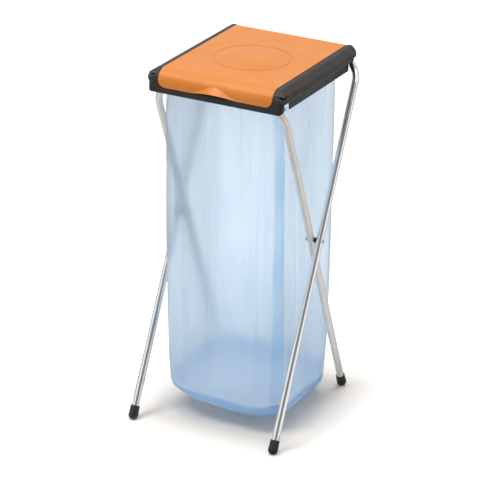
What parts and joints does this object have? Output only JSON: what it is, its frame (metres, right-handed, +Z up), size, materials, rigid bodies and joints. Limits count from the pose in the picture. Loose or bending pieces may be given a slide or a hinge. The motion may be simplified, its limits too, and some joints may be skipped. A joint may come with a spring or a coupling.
{
  "type": "trash bag stand",
  "caption": "Folding stand for a rubbish bag: crossed tube frames carry a ring with a hinged lid, and a translucent film bag hangs inside.",
  "frame": {"origin": "on the floor, midway between the front and rear feet and the left and right legs", "axes": "+X to the right as seen from the front, +Y to the back, +Z up"},
  "size_m": [0.406, 0.4535, 0.9045],
  "materials": {
    "chrome_tube": "polished chrome plate",
    "cream_tube": "satin enamel",
    "foot_rubber": "matt",
    "rivet_steel": "plain",
    "spacer_plastic": "matt",
    "ring_plastic": "fine grain",
    "lid_plastic": "satin gloss",
    "bag_film": "thin translucent film"
  },
  "bodies": {
    "outer_frame": {"outer_tube": "chrome_tube", "front_foot_left": "foot_rubber", "front_foot_right": "foot_rubber", "rivet_left": "rivet_steel", "rivet_right": "rivet_steel", "spacer_left": "spacer_plastic", "spacer_right": "spacer_plastic", "washer_left": "rivet_steel", "washer_right": "rivet_steel"},
    "inner_frame": {"inner_tube": "cream_tube", "rear_foot_left": "foot_rubber", "rear_foot_right": "foot_rubber"},
    "ring": {"top_ring": "ring_plastic", "lid_pin_left": "rivet_steel", "lid_pin_right": "rivet_steel", "trash_bag": "bag_film"},
    "lid": {"lid": "lid_plastic"}
  },
  "joints": [
    {"name": "fold", "type": "hinge", "parent": "outer_frame", "child": "inner_frame", "pos_m": [0, 0.0055, 0.472], "axis": [-1, 0, 0], "range_deg": [0, 46], "deforming": ["trash_bag"]},
    {"name": "ring_swing", "type": "hinge", "parent": "outer_frame", "child": "ring", "pos_m": [0, 0.19661, 0.872], "axis": [-1, 0, 0], "range_deg": [0, 109]},
    {"name": "lid_hinge", "type": "hinge", "parent": "ring", "child": "lid", "pos_m": [0, 0.19701, 0.891], "axis": [-1, 0, 0], "range_deg": [0, 100]}
  ],
  "couplings": [
    {"joint": "ring_swing", "follows": "fold", "ratio": 2.35}
  ]
}
